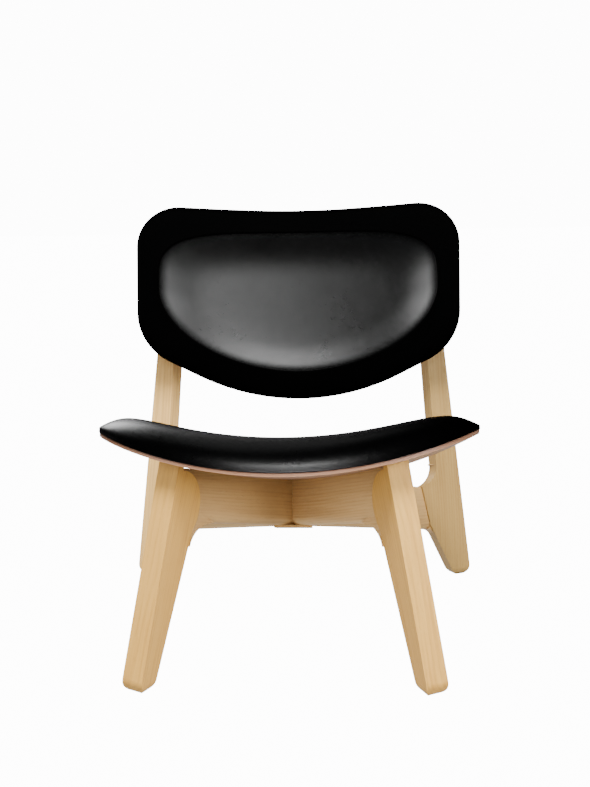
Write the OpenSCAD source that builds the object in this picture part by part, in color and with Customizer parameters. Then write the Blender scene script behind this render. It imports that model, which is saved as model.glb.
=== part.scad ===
// Low lounge chair: a crossed pair of oak rails, four oak slab legs, two
// padded plywood shells. The front faces -Y and the floor is z = 0.

/* [Front legs] */
// Half the distance between the front feet
front_foot_x = 232; // [190:1:280]
// How far the front feet stand before the middle of the chair
front_foot_y = 315.3; // [280:0.1:370]
// Thickness of a front leg's slab
front_leg_t = 36; // [28:1:44]
// Turn of the slab from the fore-and-aft direction, degrees
front_leg_turn = 25; // [15:1:35]
// Lean of the slab's top towards the middle, degrees
front_leg_tilt = 3; // [0:0.5:6]
// Breadth of the slab at the floor
front_leg_w = 37.5; // [30:0.5:50]
// Slope of the front edge
front_edge_slope = 0.296; // [0.2:0.01:0.4]
// Slope of the rear edge
rear_edge_slope = 0.446; // [0.35:0.01:0.55]
// Height of the middle of the round head
head_h = 270; // [240:1:300]
// Distance of the middle of the head from the foot's front edge
head_s = 101; // [85:1:120]
// Radius of the round head
head_r = 58; // [45:1:65]
// Radius that rounds a foot across the slab's thickness
foot_side_r = 16; // [4:0.5:16.5]
// Radius of the hollow between a front leg and its rail
front_hollow_r = 46.8; // [30:1:60]

/* [Back legs] */
// Half the distance between the outer edges of the back feet
back_foot_x = 328; // [290:1:370]
// How far the back feet stand behind the middle of the chair
back_foot_y = 241.7; // [180:0.1:280]
// Thickness of a back leg's slab
back_leg_t = 34; // [28:1:42]
// Turn of the slab from the sideways direction, degrees
back_leg_turn = 22; // [10:1:32]
// Recline of the slab, degrees
back_leg_recline = 6; // [2:0.5:10]
// Breadth of the slab at the floor
back_leg_w = 34; // [28:1:50]
// Slope of the outer edge
outer_edge_slope = 0.083; // [0.04:0.002:0.12]
// Slope of the inner edge below the rail
inner_edge_slope = 0.45; // [0.3:0.01:0.6]
// Breadth of the upright just above the rail
upright_w = 46; // [34:0.5:60]
// Height at which that breadth is taken
upright_h = 221; // [190:1:260]
// Breadth of the upright at its top
upright_top_w = 30; // [24:1:44]
// Length of the back leg along its slope
back_leg_len = 628; // [560:1:700]
// Radius of the hollow above the rail
upper_hollow_r = 38; // [30:1:70]
// Radius of the hollow below the rail
lower_hollow_r = 17; // [8:1:30]

/* [Crossed rails] */
// Thickness of a rail
rail_t = 38; // [30:1:46]
// Height of a rail at the front
rail_front_h = 83.5; // [70:0.5:100]
// Height of a rail at the back
rail_back_h = 79.5; // [65:0.5:95]
// Radius of the lower long edges
rail_edge_r = 12; // [4:1:16]
// Fall of the crossed rails towards the back, degrees
rail_fall = 18.15; // [12:0.05:24]
// Turn of a rail from the fore-and-aft direction in the sloping plane, degrees
rail_turn = 41.84; // [36:0.1:48]
// Height of the crossing's underside
cross_z = 175.8; // [150:0.5:200]
// How far the crossing lies before the middle of the chair
cross_y = 15.2; // [0:0.1:60]
// Clearance in the glued joints
glue_gap = 0.1; // [0.05:0.05:0.5]
// Side of the plate below the crossing
plate_w = 64; // [50:1:90]
// Thickness of the plate
plate_t = 4; // [2:0.5:6]
// Diameter of a joint's dowels
dowel_d = 10; // [8:1:12]
// Length of a dowel
dowel_len = 56; // [40:1:70]

/* [Seat] */
// Width of the seat shell
seat_w = 620; // [560:1:680]
// Depth of the seat shell
seat_depth = 488; // [430:1:540]
// How far the widest line lies behind the front edge
seat_wide_at = 205; // [160:1:260]
// Height of the shell's lower edge at the front
seat_front_z = 333; // [300:1:360]
// Fall of the seat towards the back, degrees
seat_fall = 15; // [8:0.5:20]
// Radius of the seat's sideways dish
seat_dish_r = 700; // [500:10:1200]
// Thickness of the plywood shells
ply_t = 9; // [7:0.5:12]
// Height of the cushion over the shell
seat_crown = 51; // [30:1:60]

/* [Back] */
// Width of the back
back_w = 611; // [560:1:660]
// Height of the top corners over the middle of the back
back_top = 151; // [120:1:180]
// Depth of the lower edge below the middle of the back
back_low = 227; // [180:1:250]
// Height of the middle of the back over the floor
back_z = 573; // [540:1:620]
// How far the back's rim lies behind the middle of the chair
back_y = 276.7; // [220:0.1:300]
// Recline of the back, degrees
back_recline = 10; // [4:0.5:18]
// Radius of the back's sideways curve
back_curve_r = 943; // [700:10:1400]
// Height of the padded roll over the shell
roll_h = 27; // [18:1:36]
// Width of the padded roll
roll_w = 48; // [34:1:60]
// Height of the padding in the dished panel
panel_h = 15; // [8:1:24]

/* [Upholstery and fixings] */
// Thickness of the leather
leather_t = 1.6; // [1:0.1:3]
// Clearance between soft pieces and their neighbours
soft_gap = 0.3; // [0.2:0.05:0.6]
// Clearance where a piece is scribed to a curved one
scribe_gap = 0.3; // [0.1:0.05:1]
// Diameter of the bolts
bolt_d = 6; // [5:0.5:8]
// Diameter of the bolt heads
bolt_head_d = 11; // [9:0.5:16]
// Height of the bolt heads
bolt_head_t = 3.5; // [2:0.5:5]
// Diameter of the washers
washer_d = 14; // [12:0.5:20]
// Thickness of the washers
washer_t = 1.5; // [1:0.1:2.5]
// Diameter of the flange of a tee nut
tnut_d = 19; // [15:0.5:24]
// Clearance round a bolt
bolt_gap = 0.3; // [0.2:0.05:0.8]

/* [Hidden] */
oak = "#dcc396";
dark_oak = "#c9ad7c";
ply_colour = "#cda58c";
leather = "#161617";
foam_colour = "#d9d2bf";
steel = "#8d9094";
reach = 2000;
bite = 60;

// Front leg: tangent round foot between two straight edges
front_cos = sqrt(1 + front_edge_slope * front_edge_slope);
rear_cos = sqrt(1 + rear_edge_slope * rear_edge_slope);
foot_cut = 2;
foot_lift = 0.4;
// Breadth behind the head's middle that runs up to the seat
head_top_w = 12;
head_top_h = 100;
front_foot_r = (front_leg_w - foot_cut * (rear_edge_slope - front_edge_slope))
    / (front_cos + rear_cos - (rear_edge_slope - front_edge_slope));
front_foot_h = front_foot_r - foot_cut;
front_foot_s = front_edge_slope * front_foot_h + front_foot_r * front_cos;

// Back leg: the same, seen on its front face, with s running inwards below zero
outer_cos = sqrt(1 + outer_edge_slope * outer_edge_slope);
inner_cos = sqrt(1 + inner_edge_slope * inner_edge_slope);
outer_start = 4;
back_foot_r = back_leg_w / (outer_cos + inner_cos - (inner_edge_slope - outer_edge_slope));
back_foot_s = outer_start - outer_edge_slope * back_foot_r - back_foot_r * outer_cos;
top_r = upright_top_w / 2;

// Crossed rails
rail_reach_front = 285;
rail_reach_back = 400;
rail_mid_h = rail_back_h
    + (rail_front_h - rail_back_h) * rail_reach_back / (rail_reach_front + rail_reach_back);

// Line of the seam between a back leg and its rail
joint_low = [-78, 108];
joint_high = [-94, 192];

// Dowels of a front joint: heights from the head's middle and places across the slab
front_dowels_at = [[-18, -2.5], [15, -6.5]];
front_dowel_fall = 6.6;
front_dowel_turn = 80.5;
// Dowels of a back joint, as shares of the seam's length
back_dowels_at = [0.28, 0.64];
back_dowel_fall = 6;
back_dowel_turn = 103;

// How far the seat's front edge lies behind the front feet
seat_setback = 17;
// Depth of the shell's front face behind the widest line of the back's rim
rim_half = 9;
shell_inset = 7;
tnut_t = 1.2;
tnut_sink = 4.2;
tnut_barrel_d = bolt_d + 2;
screw_at = 26;
screw_d = 3.5;
screw_len = 28;
screw_head_d = 7.5;
screw_head_h = 2.4;
plate_corner_r = 6;

function between(a, b, k) = a + (b - a) * k;
function unit(u) = u / norm(u);
// Points of an arc from one bearing to another
function arc(mid, r, from, to, steps) = [
    for (k = [0:steps])
        let(a = between(from, to, k / steps))
        mid + r * [cos(a), sin(a)]
];

// Front leg's rear edge
rear_way = unit([rear_edge_slope, 1]);
rear_from = [front_leg_w, 0];

// Back leg's edges on its front face
function outer_s(h) = outer_start - outer_edge_slope * h;
low_way = unit([-inner_edge_slope, 1]);
low_from = [outer_start - back_leg_w, 0];
high_from = [outer_s(upright_h) - upright_w, upright_h];
high_to = [outer_s(back_leg_len) - upright_top_w, back_leg_len];
high_way = unit(high_to - high_from);

// Directions of the room in the legs' own frames
function turn_x(p, a) = [p.x, p.y * cos(a) - p.z * sin(a), p.y * sin(a) + p.z * cos(a)];
function turn_z(p, a) = [p.x * cos(a) - p.y * sin(a), p.x * sin(a) + p.y * cos(a), p.z];
function in_front_leg(p) = turn_x(turn_z(p, front_leg_turn - 90), -90 - front_leg_tilt);
function in_back_leg(p) = turn_x(turn_z(p, -back_leg_turn), back_leg_recline - 90);
deck_up = [0, sin(rail_fall), cos(rail_fall)];

// Hollow of radius r that touches a leg's edge face and a face of the rail. It holds the
// corner, the ways down the edge and square to it, the angle and the radius
function blend(edge, out, face, up, r) =
    let(
        down = unit(out * (up * out) - up),
        away = unit(out - up * (up * out)),
        corner = edge + down * (((face - edge) * up) / (down * up))
    )
    [corner, down, unit(away - down * (down * away)), acos(down * away), r];
front_blend = blend(
    [rear_from.x, rear_from.y, 0], [rear_way.y, -rear_way.x, 0],
    in_front_leg([front_foot_x, front_foot_y - cross_y, cross_z]), in_front_leg(deck_up), front_hollow_r);
lower_blend = blend(
    [low_from.x, low_from.y, 0], [-low_way.y, low_way.x, 0],
    in_back_leg([-back_foot_x, -back_foot_y - cross_y, cross_z]), in_back_leg(deck_up), lower_hollow_r);
upper_blend = blend(
    [high_from.x, high_from.y, 0], [-high_way.y, high_way.x, 0],
    in_back_leg([-back_foot_x, -back_foot_y - cross_y, cross_z] + deck_up * rail_back_h),
    -in_back_leg(deck_up), upper_hollow_r);
blend_sink = 0.05;

// Places in the room of points on the rails, and in the seat's frame of points in the room
function rail_place(t, w) = [
    t * sin(rail_turn),
    -cross_y + t * cos(rail_turn) * cos(rail_fall) + w * sin(rail_fall),
    cross_z - t * cos(rail_turn) * sin(rail_fall) + w * cos(rail_fall)
];
function in_seat(p) =
    let(back = p.y + front_foot_y - seat_setback, up = p.z - seat_front_z)
    [p.x, back * cos(seat_fall) - up * sin(seat_fall)];
block_from = 100;
block_to = 170;
block_t = 30;
// Place of the front bolts along the rails
front_bolts_along = -118;
seat_bolts_at = [
    in_seat(rail_place(front_bolts_along, rail_front_h)),
    in_seat(rail_place((block_from + block_to) / 2, rail_back_h))
];

// Middle of an upright at a height up the slab, and the back's bolts, in the back's frame
function upright_mid(h) = between(high_from.x + outer_s(upright_h), high_to.x + outer_s(back_leg_len),
    (h - upright_h) / (back_leg_len - upright_h)) / 2;
function upright_x(h) = back_foot_x + upright_mid(h) * cos(back_leg_turn)
    - (h * sin(back_leg_recline) + back_leg_t / 2) * sin(back_leg_turn);
back_bolts_v = [-60, 15];
function bolt_h(v) = (back_z + v) / cos(back_leg_recline);
back_bolts_at = [for (v = back_bolts_v) [upright_x(bolt_h(v)), v]];
back_block_v = [-85, 40];
back_block_w = 20;

// Height of a shell's padded face over its frame's base
function seat_face(x) = seat_dish_r - sqrt(pow(seat_dish_r - ply_t, 2) - x * x);
function back_face(x) = back_curve_r - sqrt(pow(back_curve_r + rim_half, 2) - x * x);

// Closed outline with a radius at each corner, in even steps: corners hold x, y, radius
function corner_arc(before, at, after, steps) =
    let(
        u = [before.x - at.x, before.y - at.y] / norm([before.x - at.x, before.y - at.y]),
        v = [after.x - at.x, after.y - at.y] / norm([after.x - at.x, after.y - at.y]),
        half = acos(u * v) / 2,
        middle = (u + v) / norm(u + v),
        centre = [at.x, at.y] + middle * at.z / sin(half),
        first = [at.x, at.y] + u * at.z / tan(half) - centre,
        turn = sign(u.x * v.y - u.y * v.x) * -(180 - 2 * half)
    )
    [for (k = [0:steps]) centre + turned(first, turn * k / steps)];
function turned(p, a) = [p.x * cos(a) - p.y * sin(a), p.x * sin(a) + p.y * cos(a)];
function rounded(corners, steps) =
    let(n = len(corners))
    [for (i = [0:n - 1]) each corner_arc(corners[(i + n - 1) % n], corners[i], corners[(i + 1) % n], steps)];
function lengths(points, i = 0, total = 0, out = []) =
    i > len(points) ? out
    : lengths(points, i + 1, total + norm(points[(i + 1) % len(points)] - points[i % len(points)]),
        concat(out, [total]));
function even(points, count) =
    let(
        along = lengths(points),
        n = len(points),
        xs = [for (i = [0:n]) [along[i], points[i % n].x]],
        ys = [for (i = [0:n]) [along[i], points[i % n].y]]
    )
    [for (k = [0:count - 1]) let(s = along[n] * k / count) [lookup(s, xs), lookup(s, ys)]];

// Outline of the seat in its own plane, y measured back from the front edge
// How square the seat's front and rear corners are
seat_front_power = 2.25;
seat_rear_power = 2.6;
function seat_edge(a) =
    let(
        c = cos(a),
        s = sin(a),
        deep = s < 0 ? seat_wide_at : seat_depth - seat_wide_at,
        p = s < 0 ? seat_front_power : seat_rear_power
    )
    [
        sign(c) * seat_w / 2 * pow(abs(c), 2 / p),
        seat_wide_at + sign(s) * deep * pow(abs(s), 2 / p)
    ];
seat_fine = even([for (k = [0:143]) seat_edge(k * 2.5)], 96);
seat_rough = even([for (k = [0:143]) seat_edge(k * 2.5)], 56);
seat_half = [seat_w / 2, seat_depth / 2];
seat_mid = [0, seat_depth / 2];

// Outline of the back in its own plane: radii of the corners, the hollow top and the full lower edge
back_corner_r = 80;
back_side_r = 105;
back_top_r = 2500;
back_low_r = 430;
back_top_dip = 11;
back_side_v = -back_low * 0.53;
back_tip_v = -back_low * 1.205;
back_corners = [
    [back_w / 2, back_top, back_corner_r],
    [0, back_top - back_top_dip, back_top_r],
    [-back_w / 2, back_top, back_corner_r],
    [-back_w / 2, back_side_v, back_side_r],
    [0, back_tip_v, back_low_r],
    [back_w / 2, back_side_v, back_side_r]
];
back_fine = rounded(back_corners, 8);
back_rough = even(back_fine, 60);
back_half = [back_w / 2, (back_top + back_low) / 2];
back_mid = [0, (back_top - back_low) / 2];

// Point of an outline drawn in towards its middle by d
function inset(p, mid, half, d) = [
    mid.x + (p.x - mid.x) * (1 - d / half.x),
    mid.y + (p.y - mid.y) * (1 - d / half.y)
];

// Frames that the pieces are drawn in
// Side -1 is the left one as the chair is seen from the front, side 1 the right one
module on_front_leg(side) {
    mirror([side > 0 ? 1 : 0, 0, 0])
        translate([-front_foot_x, -front_foot_y, 0])
            rotate([0, 0, 90 - front_leg_turn])
                rotate([90 + front_leg_tilt, 0, 0])
                    children();
}

module on_back_leg(side) {
    mirror([side < 0 ? 1 : 0, 0, 0])
        translate([back_foot_x, back_foot_y, 0])
            rotate([0, 0, back_leg_turn])
                rotate([90 - back_leg_recline, 0, 0])
                    children();
}

// Side 1 runs from front left to back right, side -1 from front right to back left
module on_rail(side) {
    mirror([side < 0 ? 1 : 0, 0, 0])
        translate([0, -cross_y, cross_z])
            rotate([-rail_fall, 0, 0])
                rotate([0, 0, 90 - rail_turn])
                    children();
}

module on_seat() {
    translate([0, -front_foot_y + seat_setback, seat_front_z])
        rotate([-seat_fall, 0, 0])
            children();
}
// Up the back is y and forwards is z in this frame
module on_back() {
    translate([0, back_y, back_z])
        rotate([90 - back_recline, 0, 0])
            children();
}

module below_floor() {
    translate([-reach / 2, -reach / 2, -reach])
        cube(reach);
}

// Everything on the hollow side of a shell's face, as a cylinder along y
module seat_bowl(r) {
    on_seat()
        translate([0, -bite, seat_dish_r])
            rotate([-90, 0, 0])
                cylinder(r = r, h = seat_depth + 2 * bite, $fn = 240);
}

module back_bowl(r) {
    on_back()
        translate([0, -back_low - bite, back_curve_r])
            rotate([-90, 0, 0])
                cylinder(r = r, h = back_low + back_top + 2 * bite, $fn = 240);
}

// Closed surface from a first point through rings of points to a last point
module skin(first, rings, last) {
    n = len(rings[0]);
    m = len(rings);
    polyhedron(
        points = [first, for (ring = rings) each ring, last],
        faces = [
            for (i = [0:n - 1]) [0, 1 + (i + 1) % n, 1 + i],
            for (k = [0:m - 2], i = [0:n - 1]) let(a = 1 + k * n, b = a + n, j = (i + 1) % n) each
                [[a + i, a + j, b + j], [a + i, b + j, b + i]],
            for (i = [0:n - 1]) let(a = 1 + (m - 1) * n) [a + n, a + i, a + (i + 1) % n]
        ]
    );
}

// Bearing at which the head's circle leaves the rear edge
function head_from(r, shift) = -atan(rear_edge_slope)
    - acos((front_leg_w + shift + rear_edge_slope * head_h - head_s) / rear_cos / r);

module front_leg_shape() {
    polygon([
        each arc([front_foot_s, front_foot_h], front_foot_r,
            180 - atan(front_edge_slope), 360 - atan(rear_edge_slope), 24),
        each arc([head_s, head_h], head_r, head_from(head_r, 0), acos(head_top_w / head_r), 32),
        [head_s + head_top_w, head_h + head_top_h],
        [front_edge_slope, 1] * (head_h + head_top_h)
    ]);
}

// Slab of a leg with the foot rounded across its thickness, its middle at z = 0
module slab(t, foot_low) {
    intersection() {
        linear_extrude(2 * t, center = true)
            children();
        translate([-reach / 2, 0, 0])
            rotate([0, 90, 0])
                linear_extrude(reach)
                    polygon([
                        each arc([foot_side_r - t / 2, foot_low + foot_side_r], foot_side_r, 180, 270, 10),
                        each arc([t / 2 - foot_side_r, foot_low + foot_side_r], foot_side_r, 270, 360, 10),
                        [t / 2, reach],
                        [-t / 2, reach]
                    ]);
    }
}

// Prism along the corner line of a blend
module along_blend(b) {
    axis = cross(b[1], b[2]);
    multmatrix([
        [b[1].x, b[2].x, axis.x, b[0].x],
        [b[1].y, b[2].y, axis.y, b[0].y],
        [b[1].z, b[2].z, axis.z, b[0].z],
        [0, 0, 0, 1]
    ])
        linear_extrude(4 * bite, center = true)
            children();
}
function blend_reach(b) = b[4] / tan(b[3] / 2);
function blend_arc(b) = arc([blend_reach(b), b[4]], b[4] + blend_sink, 270, b[3] + 90, 14);

// Wood that fills the corner, run out into the rail's rounded edges
module blend_fill(b, depth) {
    run_out = 0.35;
    t = blend_reach(b);
    along_blend(b)
        polygon([
            each blend_arc(b),
            run_out * t * [cos(b[3]), sin(b[3])] + depth * [-sin(b[3]), cos(b[3])],
            [-depth / tan(b[3] / 2), -depth],
            [t, -depth]
        ]);
}

// Space of the hollow, carried on along the rail's face
module blend_cut(b) {
    t = blend_reach(b);
    along_blend(b)
        polygon([
            each blend_arc(b),
            (t + bite / 2) * [cos(b[3]), sin(b[3])] + blend_sink * [-sin(b[3]), cos(b[3])],
            (t + bite / 2) * [cos(b[3]), sin(b[3])] + bite * [sin(b[3]), -cos(b[3])],
            [t, b[4]] + b[4] * [cos(b[3] / 2), sin(b[3] / 2)]
        ]);
}

module front_dowel_places(side) {
    on_front_leg(side)
        for (at = front_dowels_at)
            translate([head_s + sqrt(head_r * head_r - at.x * at.x), head_h + at.x, at.y])
                rotate([0, 0, -front_dowel_fall])
                    rotate([0, front_dowel_turn, 0])
                        children();
}

module back_dowel_places(side) {
    on_back_leg(side)
        for (k = back_dowels_at)
            translate([each between(joint_low, joint_high, k), -back_leg_t / 2])
                rotate([0, 0, -back_dowel_fall])
                    rotate([0, back_dowel_turn, 0])
                        children();
}

module dowel(gap = 0) {
    cylinder(d = dowel_d + 2 * gap, h = dowel_len + 4 * gap, center = true, $fn = 32);
}

module front_leg(side) {
    color(oak)
        difference() {
            on_front_leg(side)
                slab(front_leg_t, -foot_cut - foot_lift)
                    front_leg_shape();
            below_floor();
            front_dowel_places(side)
                dowel(glue_gap);
            seat_bowl(seat_dish_r + scribe_gap);
        }
}

module back_leg_shape() {
    top_h = back_leg_len - top_r;
    polygon([
        each arc([back_foot_s, back_foot_r], back_foot_r,
            180 + atan(inner_edge_slope), 360 + atan(outer_edge_slope), 20),
        each arc([outer_s(top_h) - top_r * outer_cos, top_h], top_r, atan(outer_edge_slope), 180, 16),
        high_from,
        joint_high,
        joint_low,
        low_from + low_way * (low_from.x - joint_low.x) / -low_way.x
    ]);
}

module back_bolt_places(side) {
    on_back()
        for (at = back_bolts_at)
            translate([side * at.x, at.y, back_face(at.x)])
                children();
}

module back_leg(side) {
    color(dark_oak)
        difference() {
            on_back_leg(side)
                translate([0, 0, -back_leg_t / 2])
                    slab(back_leg_t, -foot_lift)
                        back_leg_shape();
            below_floor();
            on_back_leg(side)
                blend_cut(upper_blend);
            back_dowel_places(side)
                dowel(glue_gap);
            back_bolt_places(side)
                bolt_hole(back_grip);
        }
}

// Length from a shell's padded face to the seat of the bolt's head
seat_grip = 44;
back_grip = 49;

module bolt_hole(grip) {
    translate([0, 0, -grip - bite])
        cylinder(d = bolt_d + 2 * bolt_gap, h = grip + 2 * bite, $fn = 32);
    translate([0, 0, -grip - 2 * bite])
        cylinder(d = washer_d + 2 * bolt_gap, h = 2 * bite, $fn = 32);
}

module bolt(grip) {
    translate([0, 0, -grip - washer_t])
        cylinder(d = bolt_d, h = grip + washer_t - tnut_sink, $fn = 24);
    translate([0, 0, -grip - washer_t - bolt_head_t])
        cylinder(d = bolt_head_d, h = bolt_head_t, $fn = 32);
}

module rail_bar() {
    intersection() {
        rotate([90, 0, 0])
            linear_extrude(2 * rail_t, center = true)
                polygon([
                    [-rail_reach_front, 0], [rail_reach_back, 0],
                    [rail_reach_back, rail_back_h], [-rail_reach_front, rail_front_h]
                ]);
        translate([-reach / 2, 0, 0])
            rotate([90, 0, 90])
                linear_extrude(reach)
                    polygon([
                        each arc([rail_edge_r - rail_t / 2, rail_edge_r], rail_edge_r, 180, 270, 8),
                        each arc([rail_t / 2 - rail_edge_r, rail_edge_r], rail_edge_r, 270, 360, 8),
                        [rail_t / 2, 2 * rail_front_h],
                        [-rail_t / 2, 2 * rail_front_h]
                    ]);
    }
}

// Space that the front leg takes from its rail, with the outer face carried on
module front_leg_space(side) {
    on_front_leg(side) {
        linear_extrude(2 * bite, center = true)
            polygon([
                [-3 * bite, -bite],
                rear_from - rear_way * bite + [glue_gap, 0],
                each arc([head_s, head_h], head_r + glue_gap, head_from(head_r + glue_gap, glue_gap), 90, 32),
                [head_s, 2 * head_h],
                [-3 * bite, 2 * head_h]
            ]);
        translate([-reach / 2, -reach / 2, -reach - front_leg_t / 2])
            cube(reach);
    }
}

module back_leg_space(side) {
    on_back_leg(side) {
        linear_extrude(3 * bite, center = true)
            polygon([
                low_from - low_way * bite - [glue_gap, 0],
                low_from + low_way * (low_from.x - joint_low.x) / -low_way.x - [glue_gap, 0],
                joint_low - [glue_gap, 0],
                joint_high - [glue_gap, 0],
                [joint_high.x - glue_gap, 2 * joint_high.y],
                [bite, 2 * joint_high.y],
                [bite, -bite]
            ]);
        translate([-reach / 2, -reach / 2, -reach - back_leg_t])
            cube(reach);
    }
}

// Side 1 keeps its lower half at the crossing, side -1 its upper half
module rail(side) {
    half_h = rail_mid_h / 2;
    color(oak)
        difference() {
            union() {
                on_rail(side)
                    rail_bar();
                intersection() {
                    on_rail(side)
                        cube([reach, rail_t, reach], center = true);
                    union() {
                        on_front_leg(-side)
                            blend_fill(front_blend, rail_edge_r);
                        on_back_leg(side)
                            blend_fill(lower_blend, rail_edge_r / 2);
                    }
                }
            }
            front_leg_space(-side);
            back_leg_space(side);
            on_rail(-side)
                translate([-reach / 2, -rail_t / 2 - glue_gap, side > 0 ? half_h : half_h + glue_gap - reach])
                    cube([reach, rail_t + 2 * glue_gap, reach]);
            front_dowel_places(-side)
                dowel(glue_gap);
            back_dowel_places(side)
                dowel(glue_gap);
            seat_bowl(seat_dish_r + scribe_gap);
            seat_bolt_places()
                bolt_hole(seat_grip);
            screw_places()
                screw(bolt_gap);
        }
}

module on_deck() {
    translate([0, -cross_y, cross_z])
        rotate([-rail_fall, 0, 0])
            children();
}

module screw_places() {
    on_deck()
        for (x = [-1, 1], y = [-1, 1])
            translate([x * screw_at * sin(rail_turn), y * screw_at * cos(rail_turn), -plate_t])
                children();
}

module screw(gap = 0) {
    cylinder(d = screw_d + 2 * gap, h = screw_len + gap, $fn = 24);
    cylinder(d1 = screw_head_d + 2 * gap, d2 = screw_d + 2 * gap, h = screw_head_h, $fn = 24);
}

module cross_plate() {
    inner = plate_w - 2 * plate_corner_r;
    color(dark_oak)
        difference() {
            on_deck()
                translate([0, 0, -plate_t])
                    linear_extrude(plate_t)
                        union() {
                            square([plate_w, inner], center = true);
                            square([inner, plate_w], center = true);
                            for (x = [-1, 1], y = [-1, 1])
                                translate([x, y] * inner / 2)
                                    circle(plate_corner_r, $fn = 32);
                        }
            screw_places()
                screw(bolt_gap);
        }
}

module seat_block(side) {
    function top_h(t) = rail_front_h + (rail_back_h - rail_front_h) * (t + rail_reach_front)
        / (rail_reach_front + rail_reach_back);
    color(oak)
        difference() {
            on_rail(side)
                rotate([90, 0, 0])
                    linear_extrude(block_t, center = true)
                        polygon([
                            [block_from, top_h(block_from)], [block_to, top_h(block_to)],
                            [block_to, 2 * rail_back_h], [block_from, 2 * rail_back_h]
                        ]);
            seat_bowl(seat_dish_r + scribe_gap);
            seat_bolt_places()
                bolt_hole(seat_grip);
        }
}

module seat_bolt_places() {
    on_seat()
        for (at = seat_bolts_at, side = [-1, 1])
            translate([side * at.x, at.y, seat_face(at.x)])
                children();
}

module tnut_hole() {
    translate([0, 0, -tnut_sink])
        cylinder(d = tnut_d + 4 * bolt_gap, h = bite, $fn = 48);
    translate([0, 0, -bite])
        cylinder(d = tnut_barrel_d + 2 * bolt_gap, h = 2 * bite, $fn = 32);
}

module tnut() {
    difference() {
        union() {
            translate([0, 0, -tnut_sink])
                cylinder(d = tnut_d, h = tnut_t, $fn = 48);
            translate([0, 0, -ply_t + 1])
                cylinder(d = tnut_barrel_d, h = ply_t - 1 - tnut_sink, $fn = 32);
        }
        translate([0, 0, -bite])
            cylinder(d = bolt_d + bolt_gap, h = 2 * bite, $fn = 32);
    }
}

module washer(grip) {
    translate([0, 0, -grip - washer_t])
        difference() {
            cylinder(d = washer_d, h = washer_t, $fn = 40);
            translate([0, 0, -1])
                cylinder(d = bolt_d + 2 * bolt_gap, h = washer_t + 2, $fn = 32);
        }
}

module seat_shell() {
    color(ply_colour)
        difference() {
            intersection() {
                on_seat()
                    translate([0, 0, -bite])
                        linear_extrude(4 * bite)
                            polygon(seat_fine);
                seat_bowl(seat_dish_r);
            }
            seat_bowl(seat_dish_r - ply_t);
            seat_bolt_places()
                tnut_hole();
        }
}

// Padding of the seat: the sides draw in below their widest line, and thin out to the tips
seat_roll_w = 46;
seat_roll_from = -30;
seat_lip = 2;
seat_thinning = 0.84;
seat_top_steps = [170, 110, 60];
function seat_full(x) = seat_crown * (1 - seat_thinning * pow(abs(x) / (seat_w / 2), 7));
function seat_ring(d, k, skin_t) = [
    for (p = seat_rough)
        let(q = inset(p, seat_mid, seat_half, d + skin_t + seat_lip))
        [q.x, q.y, seat_face(q.x) + soft_gap + (seat_full(q.x) - skin_t) * k]
];
seat_steps = [70, 48, 28, 10, -10];
function seat_roll(skin_t) = [
    for (a = [each seat_steps, seat_roll_from])
        seat_ring(seat_roll_w * (1 - cos(a)), (sin(a) - sin(seat_roll_from)) / (1 - sin(seat_roll_from)), skin_t)
];
function seat_top(skin_t) = [for (d = seat_top_steps) seat_ring(d, 1, skin_t)];
function seat_peak(skin_t) = [0, seat_mid.y, seat_face(0) + soft_gap + seat_full(0) - skin_t];
function backwards(list) = [for (i = [len(list) - 1:-1:0]) list[i]];

module seat_cover() {
    color(leather)
        on_seat()
            skin(
                seat_peak(0),
                [
                    each seat_top(0), each seat_roll(0),
                    each backwards(seat_roll(leather_t)), each backwards(seat_top(leather_t))
                ],
                seat_peak(leather_t)
            );
}

module seat_foam() {
    under = leather_t + soft_gap;
    color(foam_colour)
        on_seat()
            skin(
                seat_peak(under),
                [
                    each seat_top(under), each seat_roll(under),
                    for (d = backwards(seat_top_steps)) seat_ring(d, 0, 0)
                ],
                [0, seat_mid.y, seat_face(0) + soft_gap]
            );
}

module back_shell() {
    color(ply_colour)
        difference() {
            intersection() {
                on_back()
                    translate([0, 0, -2 * bite])
                        linear_extrude(4 * bite)
                            polygon([for (p = back_fine) inset(p, back_mid, back_half, shell_inset)]);
                back_bowl(back_curve_r + rim_half + ply_t);
            }
            back_bowl(back_curve_r + rim_half);
            for (side = [-1, 1])
                back_bolt_places(side)
                    tnut_hole();
        }
}

// Padding of the back: a roll round the rim and a dished panel within it
function back_ring(d, t, skin_t) = [
    for (p = back_rough)
        let(q = inset(p, back_mid, back_half, d + skin_t))
        [q.x, q.y, back_face(q.x) + t - skin_t]
];
function back_roll(skin_t) = [
    for (s = [[1, 0], [0.84, 0.25], [0.68, 0.75]])
        back_ring(s[0] * roll_w, between(panel_h, roll_h, s[1]), skin_t),
    for (a = [90, 55, 25])
        back_ring(roll_w / 2 * (1 - cos(a)), rim_half + (roll_h - rim_half) * sin(a), skin_t)
];
back_panel_steps = [115, 66];
// Place and depth at which the leather ends round the shell's edge
wrap_in = 3;
wrap_deep = 0.5 - ply_t;
function back_panel(skin_t) = [for (d = back_panel_steps) back_ring(d, panel_h - 1, skin_t)];
function back_peak(skin_t) = [0, back_mid.y, back_face(0) + panel_h - skin_t];

module back_cover() {
    color(leather)
        on_back()
            skin(
                back_peak(0),
                [
                    each back_panel(0), each back_roll(0),
                    back_ring(0.5, 0, 0), back_ring(wrap_in, wrap_deep, 0),
                    back_ring(wrap_in, wrap_deep + leather_t, leather_t), back_ring(0.5, 0, leather_t),
                    each backwards(back_roll(leather_t)), each backwards(back_panel(leather_t))
                ],
                back_peak(leather_t)
            );
}

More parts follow.
